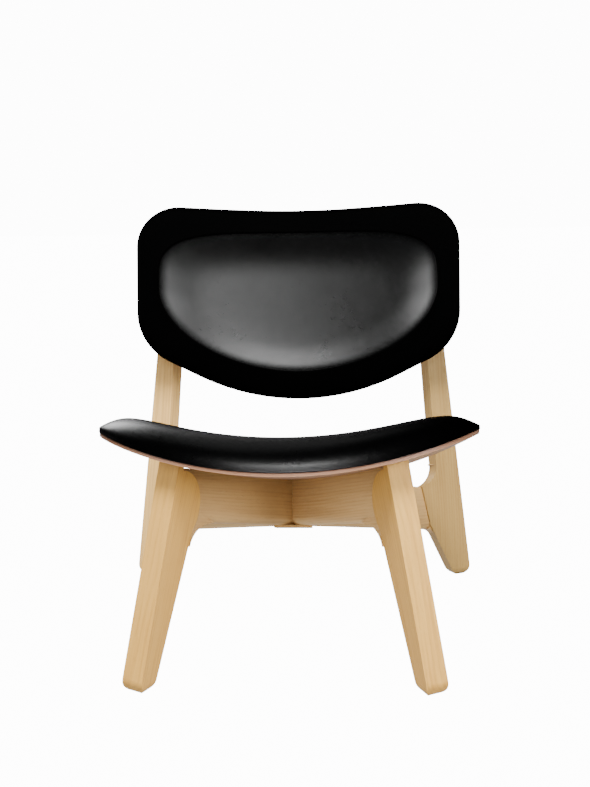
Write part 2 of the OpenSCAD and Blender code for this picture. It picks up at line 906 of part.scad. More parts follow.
module back_foam() {
    under = leather_t + soft_gap;
    color(foam_colour)
        on_back()
            skin(
                back_peak(under),
                [
                    each back_panel(under), each back_roll(under),
                    back_ring(0.5 + under, soft_gap, 0),
                    for (d = [40, 90, 140]) back_ring(d, soft_gap, 0)
                ],
                [0, back_mid.y, back_face(0) + soft_gap]
            );
}

module back_block(side) {
    half = back_block_w / 2;
    ends = [for (v = back_block_v) [upright_x(bolt_h(v)), v]];
    color(dark_oak)
        difference() {
            on_back()
                mirror([side < 0 ? 1 : 0, 0, 0])
                    translate([0, 0, -bite])
                        linear_extrude(3 * bite)
                            polygon([
                                ends[0] - [half, 0], ends[0] + [half, 0],
                                ends[1] + [half, 0], ends[1] - [half, 0]
                            ]);
            on_back_leg(side)
                translate([-reach / 2, -reach / 2, -reach])
                    cube(reach);
            back_bowl(back_curve_r + rim_half + ply_t + scribe_gap);
            back_bolt_places(side)
                bolt_hole(back_grip);
        }
}

module front_dowels() {
    color(oak)
        for (side = [-1, 1])
            front_dowel_places(side)
                dowel();
}

module back_dowels() {
    color(oak)
        for (side = [-1, 1])
            back_dowel_places(side)
                dowel();
}

module seat_bolts() {
    color(steel)
        seat_bolt_places()
            bolt(seat_grip);
}

module seat_washers() {
    color(steel)
        seat_bolt_places()
            washer(seat_grip);
}

module seat_tnuts() {
    color(steel)
        seat_bolt_places()
            tnut();
}

module back_bolts() {
    color(steel)
        for (side = [-1, 1])
            back_bolt_places(side)
                bolt(back_grip);
}

module back_washers() {
    color(steel)
        for (side = [-1, 1])
            back_bolt_places(side)
                washer(back_grip);
}

module back_tnuts() {
    color(steel)
        for (side = [-1, 1])
            back_bolt_places(side)
                tnut();
}

module plate_screws() {
    color(steel)
        screw_places()
            screw();
}

front_leg(-1);  // front_leg_left
front_leg(1);  // front_leg_right
back_leg(-1);  // back_leg_left
back_leg(1);  // back_leg_right
rail(1);  // rail_a
rail(-1);  // rail_b
front_dowels();
back_dowels();
cross_plate();
plate_screws();
seat_shell();
seat_foam();
seat_cover();
seat_block(-1);  // seat_block_left
seat_block(1);  // seat_block_right
seat_bolts();
seat_washers();
seat_tnuts();
back_shell();
back_foam();
back_cover();
back_block(-1);  // back_block_left
back_block(1);  // back_block_right
back_bolts();
back_washers();
back_tnuts();
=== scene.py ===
import math

import bpy
from mathutils import Matrix, Vector


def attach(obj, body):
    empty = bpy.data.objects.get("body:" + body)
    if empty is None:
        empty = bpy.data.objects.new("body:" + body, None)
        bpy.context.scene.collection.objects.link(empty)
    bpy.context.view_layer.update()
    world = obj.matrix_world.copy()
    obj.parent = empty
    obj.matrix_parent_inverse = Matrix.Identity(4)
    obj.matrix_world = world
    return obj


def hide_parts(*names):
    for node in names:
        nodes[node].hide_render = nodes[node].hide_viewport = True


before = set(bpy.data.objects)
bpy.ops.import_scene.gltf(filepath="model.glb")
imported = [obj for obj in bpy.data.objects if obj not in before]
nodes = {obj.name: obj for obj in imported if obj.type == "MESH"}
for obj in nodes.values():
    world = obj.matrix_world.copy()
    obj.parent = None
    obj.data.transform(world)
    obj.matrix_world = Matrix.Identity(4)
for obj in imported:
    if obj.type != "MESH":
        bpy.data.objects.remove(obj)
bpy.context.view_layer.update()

print("frame loaded:", len(nodes), "nodes")


# A socket that takes part in plain arithmetic by way of Math nodes
class Wire:
    def __init__(self, graph, socket):
        self.graph = graph
        self.socket = socket

    def __add__(self, other):
        return self.graph.maths("ADD", self, other)

    def __radd__(self, other):
        return self.graph.maths("ADD", other, self)

    def __sub__(self, other):
        return self.graph.maths("SUBTRACT", self, other)

    def __rsub__(self, other):
        return self.graph.maths("SUBTRACT", other, self)

    def __mul__(self, other):
        return self.graph.maths("MULTIPLY", self, other)

    def __rmul__(self, other):
        return self.graph.maths("MULTIPLY", other, self)

    def __truediv__(self, other):
        return self.graph.maths("DIVIDE", self, other)

    def __pow__(self, other):
        return self.graph.maths("POWER", self, other)

    def __abs__(self):
        return self.graph.maths("ABSOLUTE", self)

    def fraction(self):
        return self.graph.maths("FRACT", self)

    def root(self):
        return self.graph.maths("SQRT", self)

    # 0 below low and 1 above high, smooth between
    def step(self, low, high):
        return self.graph.node(
            "ShaderNodeMapRange", {"interpolation_type": "SMOOTHSTEP"},
            {"Value": self, "From Min": low, "From Max": high},
        )


class Graph:
    def __init__(self, name):
        self.material = bpy.data.materials.new(name)
        self.material.use_nodes = True
        self.tree = self.material.node_tree
        self.shader = self.tree.nodes["Principled BSDF"]

    # Any node: its type, settings and inputs, and which output is wanted
    def node(self, kind, settings=None, inputs=None, output=0):
        made = self.tree.nodes.new(kind)
        for key, value in (settings or {}).items():
            setattr(made, key, value)
        for key, value in (inputs or {}).items():
            self.feed(made.inputs[key], value)
        return Wire(self, made.outputs[output])

    def feed(self, socket, value):
        if isinstance(value, Wire):
            self.tree.links.new(value.socket, socket)
        else:
            socket.default_value = value

    def maths(self, operation, *values):
        return self.node("ShaderNodeMath", {"operation": operation}, dict(enumerate(values)))

    def place(self):
        return self.node("ShaderNodeTexCoord", output="Object")

    # How far a place lies along a direction
    def along(self, place, way):
        return self.node(
            "ShaderNodeVectorMath", {"operation": "DOT_PRODUCT"},
            {0: place, 1: tuple(way)}, output="Value",
        )

    def join(self, x, y, z):
        return self.node("ShaderNodeCombineXYZ", None, {0: x, 1: y, 2: z})

    def noise(self, vector, scale, detail=3.0, rough=0.5, distortion=0.0):
        return self.node("ShaderNodeTexNoise", {"noise_dimensions": "3D"}, {
            "Vector": vector, "Scale": scale, "Detail": detail,
            "Roughness": rough, "Distortion": distortion,
        })

    def blend(self, factor, first, second):
        return self.node(
            "ShaderNodeMix", {"data_type": "RGBA"},
            {0: factor, 6: colourOf(first), 7: colourOf(second)}, output=2,
        )

    # Colour times one amount, or times one for red, green and blue each
    def scaled(self, colour, red, green=None, blue=None):
        amounts = (red, green or red, blue or red)
        tint = self.node("ShaderNodeCombineColor", None, dict(enumerate(amounts)))
        return self.node(
            "ShaderNodeMix", {"data_type": "RGBA", "blend_type": "MULTIPLY"},
            {0: 1.0, 6: colour, 7: tint}, output=2,
        )

    def bump(self, height, strength, distance):
        return self.node(
            "ShaderNodeBump", None,
            {"Height": height, "Strength": strength, "Distance": distance},
        )

    # Gives the shader its values, and returns the material
    def finish(self, values):
        for key, value in values.items():
            self.feed(self.shader.inputs[key], value)
        return self.material

    # A second shader, which shows where the amount is below 1
    def mixIn(self, values, amount):
        second = self.tree.nodes.new("ShaderNodeBsdfPrincipled")
        for key, value in values.items():
            self.feed(second.inputs[key], value)
        mix = self.node("ShaderNodeMixShader", None, {
            0: amount, 1: Wire(self, second.outputs[0]), 2: Wire(self, self.shader.outputs[0]),
        })
        self.feed(self.tree.nodes["Material Output"].inputs["Surface"], mix)


# A colour of three numbers gets its alpha
def colourOf(value):
    return (*value, 1.0) if isinstance(value, tuple) and len(value) == 3 else value


oak = {
    "early": (0.69, 0.405, 0.125),
    "late": (0.55, 0.298, 0.084),
    "pore": (0.29, 0.140, 0.042),
    "fleck": (0.78, 0.51, 0.19),
    "roughness": 0.5,
    "legArris": 0.006,
    "railArris": 0.0018,
    # how much fuller the pieces are, so that no light shows through their joints
    "frontFuller": 0.00045,
    "backFuller": 0.0002,
    # way of the grain in each piece, its tint beside the others, and its seed. The tints of the
    # back legs and the rails are painted light and shade: they make the back left leg and rail_b
    # lighter and the back right leg and rail_a darker, as light falls on each of them
    "pieces": {
        "front_leg_left": ((0.17, 0.28, 0.94), (0.99, 0.92, 0.60), 1.3),
        "front_leg_right": ((-0.17, 0.28, 0.94), (1.02, 0.96, 0.62), 2.1),
        "back_leg_left": ((0.068, 0.078, 0.995), (1.34, 1.42, 1.50), 3.4),
        "back_leg_right": ((-0.068, 0.078, 0.995), (0.56, 0.58, 0.52), 4.2),
        "rail_a": ((0.667, 0.708, -0.232), (0.78, 0.81, 0.96), 5.7),
        "rail_b": ((-0.667, 0.708, -0.232), (1.02, 1.12, 1.48), 6.3),
        "seat_block_left": ((0.667, 0.708, -0.232), (0.9, 0.9, 0.9), 7.9),
        "seat_block_right": ((-0.667, 0.708, -0.232), (0.9, 0.9, 0.9), 8.4),
        "back_block_left": ((0.0, 0.17, 0.98), (0.9, 0.9, 0.9), 9.2),
        "back_block_right": ((0.0, 0.17, 0.98), (0.9, 0.9, 0.9), 10.6),
        "cross_plate": ((1.0, 0.0, 0.0), (0.95, 0.95, 0.95), 14.2),
        "front_dowels": ((0.6, 0.7, -0.2), (0.9, 0.9, 0.9), 11.3),
        "back_dowels": ((0.6, 0.7, -0.2), (0.9, 0.9, 0.9), 12.8),
    },
}


# Oak: growth rings round an axis beside the piece, pores in lines along the grain, and flecks
def oakMaterial(name, way, tint, seed):
    graph = Graph(name)
    grain = Vector(way).normalized()
    across = grain.cross(Vector((0.31, -0.82, 0.17))).normalized()
    through = grain.cross(across)
    place = graph.place()
    u = graph.along(place, grain) + seed
    v = graph.along(place, across) + 0.37 * seed
    w = graph.along(place, through)

    wobble = graph.noise(graph.join(u * 1.6, v * 7.0, w * 7.0), 1.0, 2.0)
    # rings round the heart of the tree, which lies outside the piece
    ringPlace = ((v - 0.37 * seed + 0.055) ** 2.0 + (w * 0.8 + 0.09) ** 2.0).root()
    ring = (ringPlace * 210.0 + wobble * 13.0).fraction()
    early = (1.0 - ring.step(0.10, 0.75)) * (0.35 + wobble)

    streak = graph.noise(graph.join(u * 4.0, v * 170.0, w * 170.0), 1.0, 5.0, 0.65)
    patch = graph.noise(graph.join(u * 2.4, v * 22.0, w * 22.0), 1.0, 2.0)
    pore = graph.noise(graph.join(u * 95.0, v * 1500.0, w * 1500.0), 1.0, 2.0, 0.6)
    pore = pore.step(0.56, 0.72)
    fleck = graph.noise(graph.join(u * 60.0, v * 420.0, w * 110.0), 1.0, 1.0).step(0.66, 0.76)

    tone = early * 0.30 + (streak - 0.5) * 1.9 + (patch - 0.5) * 1.2 + 0.24
    colour = graph.blend(tone.step(0.0, 1.0), oak["early"], oak["late"])
    colour = graph.blend(pore * (0.10 + early * 0.30), colour, oak["pore"])
    colour = graph.blend(fleck * 0.22, colour, oak["fleck"])
    # the piece's tint, which for the back legs and the rails is painted light and shade, times a
    # random patchy tone
    colour = graph.scaled(colour, *(share + (patch - 0.5) * 0.10 for share in tint))
    depth = pore * -0.6 + streak * 0.5 + early * -0.25
    return graph.finish({
        "Base Color": colour,
        "Roughness": oak["roughness"] + pore * 0.18 + (streak - 0.5) * 0.16,
        "Normal": graph.bump(depth, 0.35, 0.00035),
        "Specular IOR Level": 0.35,
    })


plywood = {
    "veneer": (0.36, 0.19, 0.09),
    "light": (0.27, 0.135, 0.075),
    "dark": (0.15, 0.065, 0.036),
    "layer": 0.0013,
    # layers from the hollow face at which the veneer of the far face begins
    "faceFrom": 5.6,
    "faceTo": 6.2,
    "roughness": 0.45,
    "arris": 0.0012,
    # where the figure of each sheet starts
    "seatSeed": 0.3,
    "backSeed": 2.2,
}


# Bent plywood: layers counted through the sheet from its hollow face
def plywoodMaterial(name, middle, tilt, radius, seed):
    graph = Graph(name)
    place = graph.place()
    # the curve's axis runs along the shell, so the layers are rings round it
    normal = Vector((0, -math.sin(tilt), math.cos(tilt)))
    run = Vector((0, math.cos(tilt), math.sin(tilt)))
    height = graph.along(place, normal) - middle.dot(normal)
    side = graph.along(place, (1, 0, 0))
    depth = (side ** 2.0 + height ** 2.0).root() - radius
    layer = abs(depth) / plywood["layer"]
    length = graph.along(place, run)
    cross = (layer * 0.5).fraction().step(0.46, 0.54)
    fibre = graph.noise(graph.join(side * 900.0, length * 18.0, layer * 0.9), 1.0, 3.0)
    figure = graph.noise(graph.join(side * 60.0 + seed, length * 3.5, 0.0), 1.0, 4.0, 0.62, 0.8)
    lines = (side * 55.0 + figure * 7.0).fraction() - 0.5
    face = graph.blend(abs(lines) * 1.2 + (fibre - 0.5) * 0.7, plywood["light"], plywood["veneer"])
    edge = graph.blend(cross * 0.75 + (fibre - 0.5) * 0.4, plywood["light"], plywood["dark"])
    inside = layer.step(0.0, 1.0) * (1.0 - layer.step(plywood["faceFrom"], plywood["faceTo"]))
    colour = graph.blend(inside, face, edge)
    return graph.finish({
        "Base Color": colour,
        "Roughness": plywood["roughness"] + (fibre - 0.5) * 0.2,
        "Normal": graph.bump(fibre + cross * 0.6, 0.3, 0.0002),
        "Specular IOR Level": 0.4,
    })


leather = {
    "colour": (0.0012, 0.0012, 0.0013),
    "roughness": 0.33,
    "specular": 0.5,
    "grainSize": 0.0011,
    "grainDepth": 0.00012,
    "creaseSize": 0.009,
}

# The roll round the back's panel is matt, darker and almost without reflection: painted shade, a
# shaded copy of the leather that keeps the roll black
shadedRollLeather = {
    "colour": (0.0003, 0.0003, 0.0003),
    "roughness": 0.62,
    "specular": 0.008,
}


# Leather with a fine pebbled grain. Matt values, where given, are for places without sheen: a
# darker, barely reflecting copy of the leather, which is painted shade
def leatherMaterial(name, values, seed, shadedMatt=None):
    graph = Graph(name)
    place = graph.place()
    warp = graph.noise(place, 90.0, 2.0)
    moved = graph.node(
        "ShaderNodeVectorMath", {"operation": "MULTIPLY_ADD"},
        {0: graph.join(warp, warp, warp), 1: (0.003,) * 3, 2: place},
    )
    cells = graph.node(
        "ShaderNodeTexVoronoi", {"feature": "DISTANCE_TO_EDGE"},
        {"Vector": moved, "Scale": 1.0 / values["grainSize"]},
    )
    pebble = cells.step(0.0, 0.28)
    fine = graph.noise(place, 2600.0, 2.0)
    crease = graph.noise(place, 1.0 / values["creaseSize"], 3.0, 0.55, 0.4)
    soft = graph.noise(place, 9.0 + seed, 2.0)
    height = pebble * 0.75 + fine * 0.2 + crease * 0.9
    shade = 0.8 + soft * 0.4
    wear = (soft - 0.5) * 0.07 - pebble * 0.04 + (crease - 0.5) * 0.08
    relief = graph.bump(height, 0.5, values["grainDepth"])

    def finishOf(kind):
        return {
            "Base Color": graph.scaled(colourOf(kind["colour"]), shade),
            "Roughness": kind["roughness"] + wear,
            "Normal": relief,
            "Specular IOR Level": kind["specular"],
        }

    # where the sheen is below 1 the darker matt copy shows: painted shade on the roll
    if shadedMatt:
        sheen = graph.node("ShaderNodeAttribute", {"attribute_name": "sheen"}, output="Fac")
        graph.mixIn(finishOf(shadedMatt), sheen)
    return graph.finish(finishOf(values))


steel = {
    "colour": (0.50, 0.51, 0.52),
    "stain": (0.62, 0.62, 0.60),
    "roughness": 0.32,
}


def steelMaterial(name):
    graph = Graph(name)
    place = graph.place()
    brushed = graph.noise(place, 900.0, 3.0)
    stain = graph.noise(place, 60.0, 3.0)
    return graph.finish({
        "Base Color": graph.blend(stain, steel["colour"], steel["stain"]),
        "Metallic": 1.0,
        "Roughness": steel["roughness"] + (stain - 0.5) * 0.25,
        "Normal": graph.bump(brushed, 0.15, 0.0001),
    })


foam = {
    "colour": (0.72, 0.68, 0.58),
    "cell": (0.62, 0.57, 0.45),
    "roughness": 0.9,
}


def foamMaterial(name):
    graph = Graph(name)
    cells = graph.noise(graph.place(), 500.0, 3.0)
    return graph.finish({
        "Base Color": graph.blend(cells, foam["colour"], foam["cell"]),
        "Roughness": foam["roughness"],
        "Normal": graph.bump(cells, 0.4, 0.0006),
    })


def dress(piece, material):
    piece.data.materials.clear()
    piece.data.materials.append(material)


# How a solid's arrises are rounded: angles in degrees, the weld in metres
arrises = {
    "weld": 0.00002,
    "flatWithin": 0.03,
    "sharpFrom": 32,
    "segments": 4,
}


# Rounds a solid's arrises and keeps its flat faces flat
def soften(piece, width, segments=arrises["segments"], fuller=0.0):
    for face in piece.data.polygons:
        face.use_smooth = True
    weld = piece.modifiers.new("weld", "WELD")
    weld.merge_threshold = arrises["weld"]
    if fuller:
        snug = piece.modifiers.new("snug", "DISPLACE")
        snug.strength = fuller
        snug.mid_level = 0
    flat = piece.modifiers.new("flat", "DECIMATE")
    flat.decimate_type = "DISSOLVE"
    flat.angle_limit = math.radians(arrises["flatWithin"])
    bevel = piece.modifiers.new("arris", "BEVEL")
    bevel.width = width
    bevel.segments = segments
    bevel.limit_method = "ANGLE"
    bevel.angle_limit = math.radians(arrises["sharpFrom"])
    normals = piece.modifiers.new("normals", "WEIGHTED_NORMAL")
    normals.weight = 80


print("oak")
for nodeName, (way, tint, seed) in oak["pieces"].items():
    dress(nodes[nodeName], oakMaterial("oak_" + nodeName, way, tint, seed))
for nodeName in ("front_leg_left", "front_leg_right"):
    soften(nodes[nodeName], oak["legArris"], fuller=oak["frontFuller"])
for nodeName in ("back_leg_left", "back_leg_right"):
    soften(nodes[nodeName], oak["legArris"], fuller=oak["backFuller"])
for nodeName in ("rail_a", "rail_b"):
    soften(nodes[nodeName], oak["railArris"], fuller=oak["frontFuller"])

# The shells' places and forms, in metres and degrees
seat = {
    "origin": (0, -0.2983, 0.333),
    "fall": 15,
    "width": 0.620,
    "depth": 0.488,
    "wideAt": 0.205,
    "frontPower": 2.25,
    "rearPower": 2.6,
    "dishRadius": 0.700,
    "ply": 0.009,
    # the pad's height in the middle, and how much of it is gone at the tips
    "crown": 0.051,
    "thinning": 0.84,
    "tipPower": 7,
    # the rounded edge: its width, and the angle at which it meets the sheet
    "rollWidth": 0.046,
    "rollFrom": -12,
    "rollSteps": 24,
    "gap": 0.0003,
    # how far the leather stands out over the sheet's edge, laps it and is thick
    "lip": -0.0012,
    "lap": 0.0040,
    "lapThickness": 0.0008,
    "points": 320,
    # distances in from the edge of the rings of points on top and underneath, in millimetres
    "topRings": range(200, 46, -7),
    "underRings": (12, 30, 60, 110, 170),
}

back = {
    "origin": (0, 0.2767, 0.573),
    "recline": 10,
    "width": 0.611,
    "top": 0.151,
    "low": 0.227,
    # radius of the curve at the pad's rim, which stands out from the sheet
    "curveRadius": 0.943,
    # outline: radii of the corners, the dip of the top edge and the depth of the bottom one
    "topCorner": 0.080,
    "topDip": 0.011,
    "topRadius": 2.5,
    "sideCorner": 0.105,
    "sideLow": 0.53,
    "bottomLow": 1.205,
    "bottomRadius": 0.430,
    "points": 360,
    "cornerSteps": 24,
    # the roll: its height over the sheet at the edge and at its crest, and where the crest lies
    "rim": 0.009,
    "crestHeight": 0.0285,
    "crestAt": 0.040,
    "rollKeeps": 0.006,
    # the panel: where it begins, how wide its side falls, its height and its hollow
    "panelFrom": 0.047,
    "dishWidth": 0.112,
    "panelHeight": 0.014,
    "panelDepth": 0.155,
    "sag": 0.0048,
    "sagFrom": 0.030,
    "sagHigh": 0.125,
    "sagWide": 0.29,
    # outline of the panel: its middle, half its width, its reach and how square each half is
    "panelMiddle": -0.010,
    "panelHalf": 0.264,
    "panelUp": 0.108,
    "panelDown": 0.160,
    "upPower": 4.0,
    "downPower": 1.88,
    # the sheen begins this far in from the crest and is full this much farther on; nearer the edge
    # the roll has the darker matt leather of painted shade
    "sheenFrom": 0.006,
    "sheenWidth": 0.022,
    # distances in from the edge of the rings of points, from the panel to the rim
    "innerRings": 16,
    "panelRings": (0.145, 0.138, 0.131, 0.125, 0.119, 0.113, 0.108, 0.103),
    "sideRings": [0.098 - 0.003 * k for k in range(18)],
    "rollRings": (
        0.0445, 0.042, 0.0395, 0.036, 0.032, 0.028, 0.024, 0.020, 0.0165,
        0.0135, 0.011, 0.0088, 0.0068, 0.005, 0.0035, 0.0022, 0.0012, 0.0006,
    ),
    # the leather's fold over the sheet's edge, then the pad's underside: distance in, and height
    "fold": (
        (0.0002, 0.009), (0.0002, 0.006), (0.0002, 0.003), (0.0002, 0.0), (0.0002, -0.003),
        (0.0008, -0.006), (0.002, -0.0078), (0.0038, -0.0086), (0.0062, -0.0082),
        (0.0064, -0.005), (0.0064, 0.0003), (0.03, 0.0003), (0.08, 0.0003), (0.13, 0.0003),
    ),
    "gap": 0.0003,
}


# A point across, along and out from the seat's sheet
def seatPlace(x, y, z):
    a = math.radians(seat["fall"])
    ox, oy, oz = seat["origin"]
    return (ox + x, oy + y * math.cos(a) + z * math.sin(a), oz - y * math.sin(a) + z * math.cos(a))


# A point across, up and out from the back's sheet
def backPlace(x, y, z):
    a = math.radians(90 - back["recline"])
    ox, oy, oz = back["origin"]
    return (ox + x, oy + y * math.cos(a) - z * math.sin(a), oz + y * math.sin(a) + z * math.cos(a))


# Points at even steps along a closed outline
def evenly(outline, count):
    lengths = [0.0]
    for a, b in zip(outline, outline[1:] + outline[:1]):
        lengths.append(lengths[-1] + math.dist(a, b))
    out = []
    k = 0
    for i in range(count):
        at = lengths[-1] * i / count
        while lengths[k + 1] < at:
            k += 1
        share = (at - lengths[k]) / max(lengths[k + 1] - lengths[k], 1e-9)
        a = outline[k]
        b = outline[(k + 1) % len(outline)]
        out.append((a[0] + (b[0] - a[0]) * share, a[1] + (b[1] - a[1]) * share))
    return out


# Outline through corners, each rounded to its radius
def roundedOutline(corners, steps):
    out = []
    for i, (x, y, r) in enumerate(corners):
        at = Vector((x, y))
        before = (Vector(corners[i - 1][:2]) - at).normalized()
        after = (Vector(corners[(i + 1) % len(corners)][:2]) - at).normalized()
        half = math.acos(before.dot(after)) / 2
        centre = at + (before + after).normalized() * r / math.sin(half)
        first = at + before * r / math.tan(half) - centre
        turn = math.copysign(math.pi - 2 * half, -(before.x * after.y - before.y * after.x))
        for k in range(steps + 1):
            a = turn * k / steps
            out.append(tuple(centre + Matrix.Rotation(a, 2) @ first))
    return out


# Closed skin through rings of points, with a point at each end
def skin(name, first, rings, last):
    count = len(rings[0])
    points = [first] + [p for ring in rings for p in ring] + [last]
    faces = [(0, 1 + i, 1 + (i + 1) % count) for i in range(count)]
    for k in range(len(rings) - 1):
        a = 1 + k * count
        for i in range(count):
            j = (i + 1) % count
            faces.append((a + j, a + i, a + count + i, a + count + j))
    a = 1 + (len(rings) - 1) * count
    faces += [(len(points) - 1, a + (i + 1) % count, a + i) for i in range(count)]
    mesh = bpy.data.meshes.new(name)
    mesh.from_pydata(points, [], faces)
    mesh.update()
    for face in mesh.polygons:
        face.use_smooth = True
    piece = bpy.data.objects.new(name, mesh)
    bpy.context.scene.collection.objects.link(piece)
    return piece


def smooth(t):
    t = min(max(t, 0.0), 1.0)
    return t * t * (3 - 2 * t)


def seatOutline(angle):
    c = math.cos(angle)
    s = math.sin(angle)
    deep = seat["wideAt"] if s < 0 else seat["depth"] - seat["wideAt"]
    power = seat["frontPower"] if s < 0 else seat["rearPower"]
    return (
        math.copysign(seat["width"] / 2 * abs(c) ** (2 / power), c),
        seat["wideAt"] + math.copysign(deep * abs(s) ** (2 / power), s),
    )


def seatFace(x):
    return seat["dishRadius"] - math.sqrt((seat["dishRadius"] - seat["ply"]) ** 2 - x * x)


def makeSeatPad():
    outline = evenly([seatOutline(math.radians(k)) for k in range(360)], seat["points"])
    middle = (0.0, seat["depth"] / 2)
    half = (seat["width"] / 2, seat["depth"] / 2)

    # the pad's full height, which thins out towards the tips
    def full(x):
        return seat["crown"] * (1 - seat["thinning"] * (abs(x) / half[0]) ** seat["tipPower"])

    # ring at a distance in from the edge, at a share of the full height
    def ring(d, share, drop=0.0):
        out = []
        for x, y in outline:
            qx = x * (1 - (d + seat["lip"]) / half[0])
            qy = middle[1] + (y - middle[1]) * (1 - (d + seat["lip"]) / half[1])
            out.append((qx, qy, seatFace(qx) + seat["gap"] + full(qx) * share - drop))
        return out

    low = math.sin(math.radians(seat["rollFrom"]))
    rings = [ring(d / 1000, 1) for d in seat["topRings"]]
    for k in range(seat["rollSteps"]):
        a = math.radians(90 + (seat["rollFrom"] - 90) * k / seat["rollSteps"])
        rings.append(ring(seat["rollWidth"] * (1 - math.cos(a)), (math.sin(a) - low) / (1 - low)))
    rings.append(ring(0.0, 0, seat["lap"] * 0.5))
    rings.append(ring(0.0, 0, seat["lap"]))
    rings.append(ring(seat["lapThickness"], 0, seat["lap"]))
    rings.append(ring(seat["lapThickness"], 0))
    rings += [ring(d / 1000, 0) for d in seat["underRings"]]
    peak = (0.0, middle[1], seatFace(0) + seat["gap"] + full(0))
    base = (0.0, middle[1], seatFace(0) + seat["gap"])
    return skin(
        "seat_pad", seatPlace(*peak), [[seatPlace(*p) for p in r] for r in rings], seatPlace(*base)
    )


def backFace(x):
    return back["curveRadius"] - math.sqrt((back["curveRadius"] + back["rim"]) ** 2 - x * x)


# How far the dish has sunk, from 0 at its edge to 1: quickly at first, then ever more gently
def dish(t):
    steps = [k / 100 for k in range(100)]
    falls = [s ** 0.8 * (1 - s) ** 2.2 for s in steps]
    full = sum(falls)
    t = min(max(t, 0.0), 1.0) * 100
    whole = int(t)
    return (sum(falls[:whole]) + (falls[whole] * (t - whole) if whole < 100 else 0.0)) / full


def makeBackPad():
    width, top, low = back["width"], back["top"], back["low"]
    corners = [
        (width / 2, top, back["topCorner"]),
        (0.0, top - back["topDip"], back["topRadius"]),
        (-width / 2, top, back["topCorner"]),
        (-width / 2, -low * back["sideLow"], back["sideCorner"]),
        (0.0, -low * back["bottomLow"], back["bottomRadius"]),
        (width / 2, -low * back["sideLow"], back["sideCorner"]),
    ]
    outline = evenly(roundedOutline(corners, back["cornerSteps"]), back["points"])
    middle = (0.0, (top - low) / 2)
    half = (width / 2, (top + low) / 2)
    crestAt = back["crestAt"]
    crest = back["crestHeight"]
    floor = back["panelHeight"]
    deepest = crestAt + back["dishWidth"]

    # height over the sheet's face at a distance in from the edge
    def height(d):
        if d < crestAt:
            c = 1 - 0.9 * d / crestAt
            return back["rim"] + (crest - back["rim"]) * math.sqrt(max(1 - c * c, 0) / 0.99)
        return crest + (floor - crest) * dish((d - crestAt) / back["dishWidth"])

    # the panel is hollow from top to bottom
    def sag(x, y, d):
        inside = smooth((d - crestAt) / back["sagFrom"])
        high = max(1 - ((y - middle[1]) / back["sagHigh"]) ** 2, 0)
        wide = max(1 - (x / back["sagWide"]) ** 2, 0)
        return back["sag"] * inside * high * wide

    # point of the panel's edge in the direction of a point of the outline
    def panelEdge(x, y):
        way = math.atan2(y - back["panelMiddle"], x)
        upper = y > back["panelMiddle"]
        c = abs(math.cos(way)) / back["panelHalf"]
        s = abs(math.sin(way)) / back["panelUp" if upper else "panelDown"]
        power = back["upPower" if upper else "downPower"]
        reach = (c ** power + s ** power) ** (-1 / power)
        return reach * math.cos(way), back["panelMiddle"] + reach * math.sin(way)

    edge = [panelEdge(x, y) for x, y in outline]

    # ring at a distance in from the edge, like the back's outline there and the panel's farther in
    def ring(d, lift=None):
        out = []
        share = smooth((d - back["rollKeeps"]) / (back["panelFrom"] - back["rollKeeps"]))
        beyond = max(d - back["panelFrom"], 0)
        for (x, y), (px, py) in zip(outline, edge):
            px *= 1 - beyond / back["panelHalf"]
            py = middle[1] + (py - middle[1]) * (1 - beyond / back["panelDepth"])
            qx = x * (1 - d / half[0]) * (1 - share) + px * share
            qy = (middle[1] + (y - middle[1]) * (1 - d / half[1])) * (1 - share) + py * share
            above = height(d) - sag(qx, qy, d) if lift is None else lift
            out.append((qx, qy, backFace(qx) + above))
        return out

    # the middle of the panel, in rings that shrink to a point
    def innerRing(share):
        out = []
        for x, y, _ in ring(deepest):
            qx = x * share
            qy = middle[1] + (y - middle[1]) * share
            out.append((qx, qy, backFace(qx) + floor - sag(qx, qy, 1)))
        return out

    inner = [innerRing(k / back["innerRings"]) for k in range(1, back["innerRings"])]
    distances = [deepest, *back["panelRings"], *back["sideRings"], *back["rollRings"]]
    rings = inner + [ring(d) for d in distances] + [ring(d, lift) for d, lift in back["fold"]]
    peak = (0.0, middle[1], backFace(0) + floor - back["sag"])
    base = (0.0, middle[1], backFace(0) + back["gap"])
    pad = skin(
        "back_pad", backPlace(*peak), [[backPlace(*p) for p in r] for r in rings], backPlace(*base)
    )

    # how much of the panel's sheen each point has: none on the roll, which takes the darker matt
    # leather of painted shade
    sheens = [1.0] * (1 + len(outline) * len(inner))
    for d in distances:
        sheens += [smooth((d - crestAt - back["sheenFrom"]) / back["sheenWidth"])] * len(outline)
    sheens += [0.0] * (len(pad.data.vertices) - len(sheens))
    pad.data.attributes.new("sheen", "FLOAT", "POINT").data.foreach_set("value", sheens)
    return pad


print("upholstery")
seatPad = makeSeatPad()
backPad = makeBackPad()
dress(seatPad, leatherMaterial("leather_seat", leather, 1.7))
dress(backPad, leatherMaterial("leather_back", leather, 4.3, shadedRollLeather))
for pad, covered in (
    (seatPad, ("seat_cover", "seat_foam")),
    (backPad, ("back_cover", "back_foam")),
):
    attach(pad, "root")
    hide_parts(*covered)

